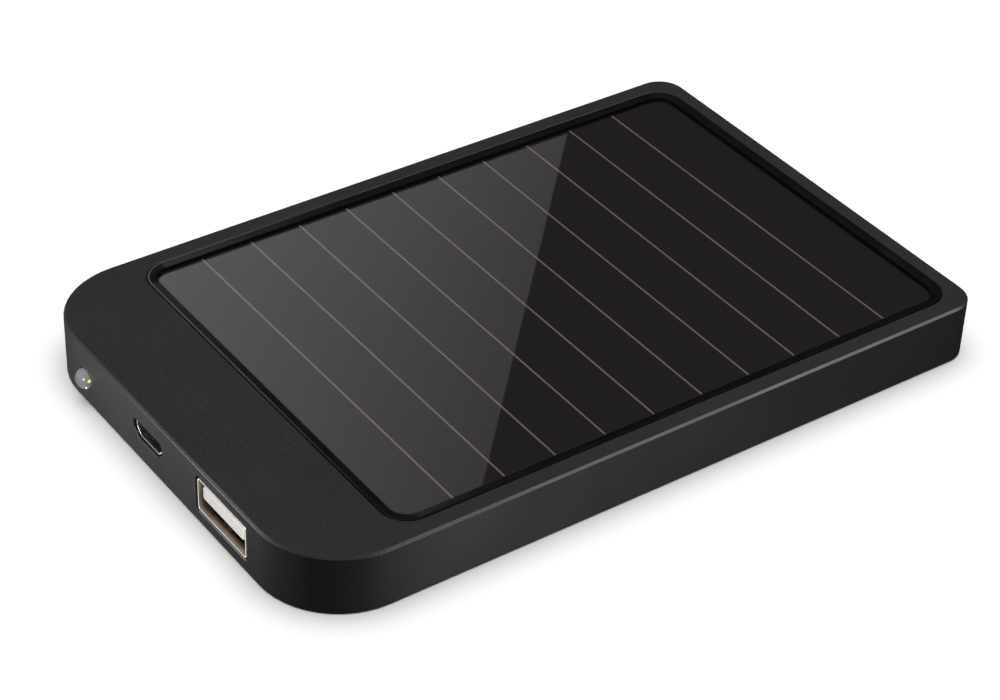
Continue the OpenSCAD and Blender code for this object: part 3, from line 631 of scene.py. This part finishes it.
# %% [markdown]
# ## Metals
# The sockets' shells are bent from plated sheet, and the tabs, legs and screws are plain metal.
# Rolling leaves fine lines in one direction, and handling leaves a blotchy haze. A stretched
# noise gives the lines, a round one the haze, and both only touch gloss, a little colour and a
# hair of relief.

# %% Metals


def metal(name, dark, light, rough, lines=(0.08, 1, 1), depth=0.002):
    """Rolled or plated metal: fine lines along one direction under a blotchy haze."""
    f = Finish(bpy.data.materials.new(name))
    line = f.noise(0.09, detail=3, stretch=lines)
    haze = f.noise(1.6, detail=3)
    return f.surface(
        base_color=f.mix(haze * 0.6 + line * 0.4, dark, light),
        metallic=1.0,
        roughness=rough + 0.14 * (haze - 0.5) + 0.1 * (line - 0.5),
        normal=f.bump(line, depth),
    )


nickel_plate = metal("nickel_plate", (0.56, 0.55, 0.53), (0.78, 0.77, 0.75), 0.26)
gold_plate = metal("gold_plate", (0.62, 0.40, 0.12), (0.92, 0.66, 0.26), 0.25)
leg_steel = metal("leg_steel", (0.42, 0.43, 0.44), (0.62, 0.63, 0.64), 0.3)
screw_steel = metal("screw_steel", (0.30, 0.31, 0.32), (0.48, 0.49, 0.50), 0.34, lines=(1, 1, 0.1))
tab_nickel = metal("tab_nickel", (0.50, 0.49, 0.45), (0.66, 0.65, 0.60), 0.3, lines=(1, 0.1, 1))
bus_silver = metal("bus_silver", (0.55, 0.56, 0.57), (0.72, 0.73, 0.74), 0.45, lines=(1, 0.05, 1))
solder = metal("solder", (0.40, 0.41, 0.43), (0.66, 0.67, 0.69), 0.28, lines=(1, 1, 1), depth=0.03)
print("finishes so far:", len(bpy.data.materials))

# %% [markdown]
# ## The output socket
# The shell is a box bent from sheet metal, open at the front. One path of (how far along, how
# far out) goes along its inside, round the lip and back along its outside. Windows are cut in
# its floor and roof, and each holds a spring bowed inwards that grips a plug. Inside are a white
# tongue in the upper half and four gold contacts bowed down from under it.

# %% Shell with its springs
SHEET, LIP_IN = 0.3, 0.06  # sheet thickness, and how far the lip lies inside the wall's face
WINDOW = (3.0, 5.8)  # width and length of a spring's window
WINDOW_IN, WINDOW_CORNER, WINDOW_SIDE = 1.2, 0.25, 3
SPRING_WIDTH, SPRING_THICK, SPRING_BOW = 1.9, 0.22, 0.55


def bent_box(name, face, corner, lip_in, far, sheet, round_lip):
    """Box of sheet metal open at the front. One path (x, grow) runs along its inside, round its
    lip and back along its outside, and its face is drawn once at each point of the path."""
    lip = near_x + lip_in
    along = path([(far - sheet, -sheet), (lip, -sheet), (lip, 0), (far, 0)], [round_lip] * 2, steps=4)
    return piece(name, skin(end_loops(face, corner, along)))


usb_center = (usb_low[1] + usb_high[1]) / 2
window_x = near_x + LIP_IN + WINDOW_IN
usb_shell = bent_box("usb_a_socket_shell", usb_face, USB_CORNER, LIP_IN, usb_high[0], SHEET, 0.13)


def window(y, z):
    """Cutter through the shell's floor or roof at height z."""
    low = (window_x, y - WINDOW[0] / 2)
    high = (window_x + WINDOW[1], y + WINDOW[0] / 2)
    return skin(plan_loops(rectangle(low, high), WINDOW_CORNER, [(0, z - SHEET), (0, z + SHEET)]))


def spring(y, z, inward):
    """Spring in a window: from its root just past the window's far end, s runs from 0 to 1 along
    it, and it bows inwards as half a sine wave of s to the power 1.4, so mostly near its tip."""
    s = np.linspace(0, 1, 15)
    bow = SPRING_BOW * np.sin(np.pi * s ** 1.4)
    x = window_x + WINDOW[1] + 0.2 - (WINDOW[1] - 0.3) * s
    route = np.stack([x, np.full_like(x, y), z + inward * bow], -1)
    return skin(strip(route, (0, 1, 0), SPRING_WIDTH, SPRING_THICK))


floor_z, roof_z = usb_low[2] + SHEET / 2, usb_high[2] - SHEET / 2
spots = [
    (usb_center + side, z, way)
    for side in (-WINDOW_SIDE, WINDOW_SIDE) for z, way in ((floor_z, 1), (roof_z, -1))
]
joined(usb_shell, "DIFFERENCE", *[window(y, z) for y, z, way in spots])
joined(usb_shell, "UNION", *[spring(*spot) for spot in spots])


def tin_with_painted_shade(name):
    """Tin plate, cream at the polished lip, with painted dark-brown shade deeper in the shell."""
    f = Finish(bpy.data.materials.new(name))
    x, y, z = f.axes()
    haze = f.noise(1.1, detail=4)
    # painted shade: deep is 0 at the lip and 1 further inside, where the colour turns to dark-brown painted
    # shade
    deep = (x + 0.25 * MM * haze).above((near_x + LIP_IN + 0.75) * MM, 0.9 * MM)
    lip = f.mix(haze, (0.74, 0.68, 0.58), (0.86, 0.81, 0.72))
    # inner is the painted shade colour, dark brown, for the inside of the shell
    inner = f.mix(haze.above(0.42, 0.3), (0.045, 0.027, 0.015), (0.26, 0.18, 0.11))
    return f.surface(
        base_color=f.mix(deep, lip, inner),
        metallic=0.9,
        roughness=0.30 + 0.16 * haze,
        normal=f.bump(haze, 0.02),
    )


settle(usb_shell, tin_with_painted_shade("tin_with_painted_shade"), "socket_shell", "usb_a_shell")

# %% [markdown]
# ## Tongue and contacts of the output socket
# The tongue is a moulded nylon bar with small round edges, thickest where the contacts enter.
# Each contact is a gold-plated spring let into its underside, which dips below the tongue and
# comes back up near the tip, so a plug presses it flat. A spring is a strip carried along a
# path whose dip is a sine wave.

# %% Tongue and contacts
TONGUE_IN, TONGUE_DEEPER = 0.3, 0.45  # its nose inside the wall's face, and its deeper underside
TONGUE_ROUND, TONGUE_CORNER, TONGUE_CLOSE = 0.3, 0.55, 0.5
CONTACT_DIP, CONTACT_THICK, CONTACT_WIDTH = 0.7, 0.2, 1.0
tongue_low, tongue_high = span("usb_a_tongue")
tongue_low += (0, 0, -TONGUE_DEEPER)
tongue_low[0] = near_x + TONGUE_IN
contact_end = span("usb_a_contacts")[1][0]
nose, root = tongue_low[0], tongue_high[0]
tongue_stations = path(
    [(nose, -TONGUE_CLOSE), (nose, 0), (root, 0), (root, -TONGUE_CLOSE)], [TONGUE_ROUND, 0.02], steps=4,
)
tongue_face = rectangle(tongue_low[1:], tongue_high[1:])
tongue = piece("usb_a_socket_tongue", skin(end_loops(tongue_face, TONGUE_CORNER, tongue_stations)))
settle(tongue, white_nylon, "socket_insulator", "usb_a_tongue")



def contact(y, start, end, under):
    """Contact at y: s runs from 0 to 1 along it, and over its first 0.3 it dips below the tongue
    as the square of half a sine wave."""
    s = np.linspace(0, 1, 25)
    dip = CONTACT_DIP * np.sin(np.pi * np.clip(s / 0.3, 0, 1)) ** 2
    route = np.stack([start + (end - start) * s, np.full_like(s, y), under - dip], -1)
    return skin(strip(route, (0, 1, 0), CONTACT_WIDTH, CONTACT_THICK))


contacts = piece("usb_a_socket_contacts", *[
    contact(usb_center + y, nose + 0.25, contact_end, tongue_low[2] + 0.02)
    for y in (-3.5, -1, 1, 3.5)
])
settle(contacts, gold_plate, "contact_gold", "usb_a_contacts")

# %% [markdown]
# ## The charging socket
# The small socket is the same kind of bent box, with its two lower corners cut off so that a
# plug fits only one way up. Its lip shows as a thin bright line against the dark inside.

# %% Charging socket shell
MICRO_SHEET, MICRO_LIP_IN = 0.25, 0.35
micro_shell = bent_box(
    "micro_usb_socket_shell", micro_face, MICRO_CORNER, MICRO_LIP_IN, micro_high[0], MICRO_SHEET, 0.1
)
settle(micro_shell, nickel_plate, "micro_shell", "micro_usb_shell")

# %% [markdown]
# ## The indicator light
# The light is a lens cast in milky clear epoxy: a dome that stands out of the wall, a barrel,
# and a flange that stops it inside. It is a turned shape, so its profile is a quarter circle
# followed by straight steps. The resin lets light in and scatters it. A small yellow-green glint
# at the side nearest the sockets is painted on as a glow, standing for the chip seen through it.

# %% Lens
FLANGE_R, FLANGE = 1.9, 1.0
tip, back = light_low[0], light_high[0]
a = np.linspace(0.0, np.pi / 2, 14)
dome = np.stack([near_x - (near_x - tip) * np.cos(a), LIGHT_R * np.sin(a)], -1)
barrel = path(
    [(near_x, LIGHT_R), (back - FLANGE, LIGHT_R), (back - FLANGE, FLANGE_R), (back, FLANGE_R), (back, 0)],
    [0.1, 0.12, 0.12], steps=4,
)
lens_piece = piece("indicator_lens", skin(turned(np.concatenate([dome, barrel[1:]]), light_at)))


def epoxy_with_painted_glint(name):
    """Translucent resin: cloudy grey-white, with a painted yellow-green glint glowing at one point."""
    f = Finish(bpy.data.materials.new(name))
    x, y, z = f.axes()
    cloud = f.noise(0.9, detail=3)
    spot = np.array([near_x - 0.1, light_at[0] - LIGHT_R + 0.05, light_at[1] + 0.45]) * MM
    away = f.node("VectorMath", {"operation": "DISTANCE"}, {
        0: f.node("CombineXYZ", {}, {0: x, 1: y, 2: z}), 1: tuple(spot),
    }, out="Value")
    # painted glint: a small yellow-green patch near the rim, standing for the chip's light seen through the
    # resin
    painted_glint = 1 - away.above(0.26 * MM, 0.2 * MM)
    return f.surface(
        base_color=f.mix(cloud, (0.30, 0.315, 0.33), (0.52, 0.54, 0.56)),
        roughness=0.12 + 0.1 * cloud,
        transmission_weight=0.45,
        ior=1.5,
        # the painted glint feeds the emission, so the lens glows there though it is no lamp
        emission_color=f.mix(painted_glint, (0, 0, 0), (0.75, 0.9, 0.12)),
        emission_strength=0.9,
    )


settle(lens_piece, epoxy_with_painted_glint("epoxy_with_painted_glint"), "led_epoxy", "led_lens")

# %% [markdown]
# ## Finishes for what is inside
# The parts that the case hides keep the frame's shapes and get their true materials. A circuit
# board shows its glass weave through the green mask, the pouch of the battery is crinkled foil,
# copper wire lies in close turns, and the pads are open-cell foam. Each is one short function,
# and only the pattern that makes that material recognisable is in it.

# %% Inner finishes


def laminate(name, dark, light):
    """Circuit board: a woven grid under a glossy solder mask."""
    f = Finish(bpy.data.materials.new(name))
    x, y, z = f.axes()
    pitch = 2 * math.pi / (0.6 * MM)
    weave = (x * pitch).math("SINE", x * pitch) * (y * pitch).math("SINE", y * pitch)
    patch = f.noise(3, detail=3).above(0.52, 0.06)
    return f.surface(
        base_color=f.mix(0.3 + 0.25 * weave + 0.35 * patch, dark, light),
        roughness=0.3 + 0.08 * patch,
        coat_weight=0.4,
        normal=f.bump(weave + 2 * patch, 0.01),
    )


def crinkled_foil(name):
    """Pouch foil: broad crinkles over a fine drawn grain, half metal."""
    f = Finish(bpy.data.materials.new(name))
    crinkle = f.noise(7, detail=6)
    grain = f.noise(0.25, detail=2, stretch=(0.1, 1, 1))
    return f.surface(
        base_color=f.mix(crinkle, (0.42, 0.43, 0.44), (0.62, 0.63, 0.64)),
        metallic=0.8,
        roughness=0.32 + 0.2 * grain,
        normal=f.bump(crinkle, 0.25),
    )


def wound_wire(name):
    """Enamelled wire in close level turns: a ridge for each turn along Z."""
    f = Finish(bpy.data.materials.new(name))
    x, y, z = f.axes()
    turns = z * (2 * math.pi / (0.24 * MM))
    ridge = turns.math("SINE", turns) * 0.5 + 0.5
    return f.surface(
        base_color=f.mix(ridge, (0.10, 0.030, 0.008), (0.46, 0.17, 0.045)),
        metallic=0.7,
        roughness=0.28 + 0.1 * f.noise(0.5),
        normal=f.bump(ridge, 0.08),
    )


def foam(name, dark, light, cell):
    """Cellular foam: open cells of the given size."""
    f = Finish(bpy.data.materials.new(name))
    pores = f.node("TexVoronoi", {}, {"Vector": f.place(), "Scale": 1 / (cell * MM)})
    return f.surface(
        base_color=f.mix(pores, light, dark), roughness=0.9 - 0.1 * pores, normal=f.bump(pores, 0.3 * cell),
    )


def insulation(name, dark, light):
    """Soft insulation of a lead: slight gloss, faint extrusion marks."""
    f = Finish(bpy.data.materials.new(name))
    mark = f.noise(0.5, detail=3)
    return f.surface(
        base_color=f.mix(mark, dark, light), roughness=0.38 + 0.12 * mark, normal=f.bump(mark, 0.01),
    )


def amber_tape(name):
    """Polyimide tape: clear amber with a few trapped bubbles."""
    f = Finish(bpy.data.materials.new(name))
    bubble = f.noise(0.8, detail=4).above(0.62, 0.06)
    return f.surface(
        base_color=f.mix(bubble, (0.50, 0.27, 0.035), (0.66, 0.42, 0.10)),
        roughness=0.16 + 0.2 * bubble,
        transmission_weight=0.4,
        normal=f.bump(bubble, 0.02),
    )


def coated(name, dark, light, size=2.0):
    """Printed or rolled coating: a dull mottled layer."""
    f = Finish(bpy.data.materials.new(name))
    mottle = f.noise(size, detail=5)
    return f.surface(
        base_color=f.mix(mottle, dark, light), roughness=0.62 + 0.2 * mottle, normal=f.bump(mottle, 0.01),
    )


green_board = laminate("green_board", (0.004, 0.055, 0.022), (0.010, 0.11, 0.05))
blue_board = laminate("blue_board", (0.006, 0.035, 0.10), (0.015, 0.07, 0.19))
print("finishes so far:", len(bpy.data.materials))

# %% [markdown]
# ## Giving the hidden parts their finishes
# One table says which finish each remaining part takes. A part of the frame is never moved or
# reshaped; only its material slots change.

# %% Table of finishes
INNER = {
    "back_cover": cover_plastic,
    "cell_strips": cell_film,
    "cell_scribe_lines": scribe_film,
    "panel_bus_bars": bus_silver,
    "panel_back_coat": coated("back_coat", (0.035, 0.040, 0.034), (0.055, 0.060, 0.052)),
    "panel_adhesive": foam("foam_tape", (0.02, 0.02, 0.02), (0.05, 0.05, 0.05), 0.12),
    "panel_solder_pads": solder,
    "panel_lead_red": insulation("lead_red", (0.42, 0.012, 0.010), (0.62, 0.030, 0.022)),
    "panel_lead_black": insulation("lead_black", (0.007, 0.007, 0.008), (0.016, 0.016, 0.017)),
    "circuit_board": green_board,
    "board_screws": screw_steel,
    "board_solder_pads": solder,
    "usb_a_rear_block": white_nylon,
    "micro_usb_tongue": black_nylon,
    "micro_usb_contacts": gold_plate,
    "led_lead_frame": leg_steel,
    "led_die": coated("led_phosphor", (0.62, 0.66, 0.05), (0.80, 0.84, 0.12), size=0.1),
    "charge_chip": chip_epoxy,
    "boost_chip": chip_epoxy,
    "chip_pins": solder,
    "inductor_core": ferrite,
    "inductor_winding": wound_wire("wound_wire"),
    "blocking_diode": chip_epoxy,
    "output_capacitor": moulded("tantalum_case", (0.48, 0.26, 0.05), (0.62, 0.36, 0.08), 0.45),
    "ceramic_capacitors": ceramic,
    "resistors": resistor_body,
    "battery_pouch": crinkled_foil("crinkled_foil"),
    "battery_tabs": tab_nickel,
    "battery_guard_board": blue_board,
    "battery_guard_parts": chip_epoxy,
    "battery_tape": amber_tape("amber_tape"),
    "battery_foam_pad": foam("grey_foam", (0.020, 0.020, 0.022), (0.075, 0.075, 0.08), 0.3),
    "battery_adhesive_strips": coated("adhesive_white", (0.62, 0.60, 0.52), (0.76, 0.74, 0.66)),
    "battery_lead_red": bpy.data.materials["lead_red"],
    "battery_lead_black": bpy.data.materials["lead_black"],
}
for node, finish in INNER.items():
    NODES[node].data.materials.clear()
    NODES[node].data.materials.append(finish)
left_over = set(NODES) - set(INNER) - {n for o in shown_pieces() for n in o.get("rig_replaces", [])}
print("parts without a finish:", sorted(left_over))

# %% [markdown]
# ## Floor and sky
# The object lies on a plain white floor under a soft overhead light that fades towards the
# horizon, so upright walls are darker than the top. What mirrors show is set apart from what
# lights the scene: black gloss looks best when most of the room it mirrors is dark. So the sky
# and floor give one value to a ray that the camera sends, another to a ray that carries soft
# light, and a third, dim one to a ray that a glossy surface sends. Seen from below the floor is
# clear, so the underside can be looked at.

# %% Floor and sky
FLOOR_SIZE, FLOOR_DROP = 3000, 0.02  # millimetres
SKY, SKY_POWER = 4.35, 6.0  # strength overhead, and how fast it fades towards the horizon
FLOOR_WHITE, FLOOR_BOUNCE = 0.98, 0.33  # how white the floor looks, and how much light it returns
MIRROR_DIM, MIRROR_BAND = 0.02, 0.12  # what glossy surfaces mirror: everywhere, and at the horizon


def floor_finish():
    f = Finish(bpy.data.materials.new("floor"))
    ray = f.node("LightPath", out="Is Camera Ray")
    grain = f.noise(40, detail=2)
    white = FLOOR_WHITE + 0.01 * grain
    shade = ray * (white - FLOOR_BOUNCE) + FLOOR_BOUNCE
    colour = f.node("CombineColor", {}, {0: shade, 1: shade, 2: shade})
    matt = f.node("BsdfDiffuse", {}, {"Color": colour})
    below = f.node("NewGeometry", out="Backfacing")
    return f.output(
        f.node("MixShader", {}, {0: below, 1: matt, 2: f.node("BsdfTransparent")}), "OutputMaterial"
    )


half = FLOOR_SIZE / 2
floor_mesh = bpy.data.meshes.new("floor")
floor_corners = [(x * MM, y * MM, -FLOOR_DROP * MM) for x, y in rectangle((-half, -half), (half, half))]
floor_mesh.from_pydata(floor_corners, [], [(0, 1, 2, 3)])
floor = bpy.data.objects.new("floor", floor_mesh)
bpy.context.scene.collection.objects.link(floor)
floor_mesh.materials.append(floor_finish())
floor.visible_glossy = False
floor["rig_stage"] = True

world = bpy.data.worlds.new("sky")
bpy.context.scene.world = world
sky = Finish(world)
height = sky.node("SeparateXYZ", {}, {0: sky.node("TexCoord", out="Generated")}, out="Z")
up = height.math("MAXIMUM", height, 0.0)
paths = {name: sky.node("LightPath", out=f"Is {name} Ray") for name in ("Camera", "Glossy")}
soft = SKY * up ** SKY_POWER
mirrored = MIRROR_DIM + MIRROR_BAND * (1 - up) ** 8 * height.above(0.0, 0.06)
seen = paths["Camera"] + paths["Glossy"] * mirrored + (1 - paths["Camera"]) * (1 - paths["Glossy"]) * soft
sky.output(sky.node("Background", {}, {"Color": (1, 1, 1, 1), "Strength": seen}), "OutputWorld")
print("floor and sky ready")

# %% [markdown]
# ## Lights and cards
# A studio shapes dark, glossy things with a few lamps and white cards, each meant for one
# surface. Light linking does the same here: every lamp names the pieces it may light. One low
# spot rakes the end wall and one in front lights the long side, both fading to the far end. Two
# more lamps only show as sheens: the bright line along the slanted top edge, and the one on the
# panel's frame. Two light the inside of the sockets, one of them from below like a table's glow,
# and a sun from below shows the underside without the floor in its way.

# %% Lamps


def only(lamp, pieces, blockers=None):
    """Lets a lamp or card light these pieces only, and be shaded by the blockers only."""
    lit = bpy.data.collections.new(lamp.name + "_lights")
    for p in pieces:
        lit.objects.link(p)
    lamp.light_linking.receiver_collection = lit
    if blockers is not None:
        shading = bpy.data.collections.new(lamp.name + "_shaded_by")
        for p in blockers:
            shading.objects.link(p)
        lamp.light_linking.blocker_collection = shading
    return lamp


def lamp(kind, name, at, aim, power, pieces, blockers=None, **more):
    """Lamp at a point in millimetres, aimed at another, which lights only the given pieces. more
    sets the lamp's own values."""
    data = bpy.data.lights.new(name, kind)
    data.energy = power
    for key, value in more.items():
        setattr(data, key, value)
    made = bpy.data.objects.new(name, data)
    at, aim = Vector(at) * MM, Vector(aim) * MM
    made.location = at
    made.rotation_mode = "QUATERNION"
    made.rotation_quaternion = (aim - at).to_track_quat("-Z", "Y")
    made.visible_camera = False
    bpy.context.scene.collection.objects.link(made)
    return only(made, pieces, blockers)


shown = list(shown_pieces())
sockets = [usb_shell, tongue, contacts, micro_shell, lens_piece, NODES["usb_a_rear_block"]]
metal_parts = [usb_shell, contacts, micro_shell]
soft_spot = {"spot_blend": 0.45, "shadow_soft_size": 6 * MM}
wide, narrow = math.radians(128), math.radians(80)
lamp("SPOT", "end_lamp", (-108, 25, 7), (-60, 22, 5), 0.20, [case], spot_size=wide, **soft_spot)
lamp("SPOT", "side_lamp", (-22, -117, 7), (0, -39, 5), 0.24, [case], spot_size=narrow, **soft_spot)
edge = lamp("AREA", "edge_lamp", (172, -189, 175), (60, -39, 10), 0.38, [case], size=0.10)
sheen = lamp("AREA", "frame_lamp", (46, 199, 157), (-38, 24, 10), 0.018, [ring], size=0.06)
edge.visible_diffuse = sheen.visible_diffuse = False
lamp("AREA", "socket_lamp", (-190, -75, 60), (-60, -16, 5), 0.20, sockets, size=0.05)
lamp(
    "AREA", "table_glow", (-110, 50, -60), (-60, -8, 5), 0.05, metal_parts,
    blockers=[case] + sockets, size=0.10,
)
below = lamp("SUN", "below_lamp", (0, 0, -200), (0, 0, 0), 3.0, shown, shown, angle=math.radians(3))
below.visible_glossy = False

# %% [markdown]
# ## The card in the glass
# The sheen on the glass ends in one straight slanting line, because a white card stands behind
# the object and the glass mirrors only part of it. A mirror shows what a camera would see from
# below it, so the card's edge is found by sending rays from the mirrored camera through two
# points of the glass, one at its back edge and one at its front edge, to where the card stands.

# %% Mirrored card
CARD_AWAY = 420  # distance of the card behind the object
CARD_LEFT = 330  # how far the card reaches to the left of its edge
BACK_X, FRONT_X = 36.0, -29.1  # where the card's edge crosses the glass's two long sides
glass_z = glass_high[2]
back_point = np.array([BACK_X, glass_high[1], glass_z])
front_point = np.array([FRONT_X, glass_low[1], glass_z])
mirrored_eye = np.array(eye) / MM
mirrored_eye[2] = 2 * glass_z - mirrored_eye[2]
flat = unit(np.array([forward.x, forward.y, 0.0]))
left = np.array([-flat[1], flat[0], 0.0])


def on_card(point):
    """Where the ray from the mirrored camera through a point of the glass meets the card's plane."""
    ray = point - mirrored_eye
    return mirrored_eye + ray * ((CARD_AWAY - mirrored_eye @ flat) / (ray @ flat))


def card(name, front, back, dim, bright, pieces):
    """Card whose edge is mirrored through two points, glowing dim at the edge, bright far from it."""
    high, low = on_card(front), on_card(back)
    high, low = high + (high - low) / 2, low - (high - low) / 2
    corners = [low, high, high + CARD_LEFT * left, low + CARD_LEFT * left]
    mesh = bpy.data.meshes.new(name)
    mesh.from_pydata([tuple(c * MM) for c in corners], [], [(0, 1, 2, 3)])
    share = mesh.attributes.new("share", "FLOAT", "POINT")
    share.data.foreach_set("value", [0.0, 0.0, 1.0, 1.0])
    made = bpy.data.objects.new(name, mesh)
    bpy.context.scene.collection.objects.link(made)
    f = Finish(bpy.data.materials.new(name))
    across = f.node("Attribute", {"attribute_name": "share"}, out="Fac")
    mesh.materials.append(f.output(
        f.node("Emission", {}, {"Strength": dim + (bright - dim) * across}), "OutputMaterial"
    ))
    made.visible_camera = made.visible_diffuse = made.visible_shadow = False
    only(made, pieces)
    made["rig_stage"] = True
    print(name, "edge in mm:", np.round(low).astype(int), np.round(high).astype(int))


panel_film = [NODES["cell_strips"], NODES["cell_scribe_lines"]]
card("glass_card", front_point, back_point, 0.45, 2.6, panel_film)
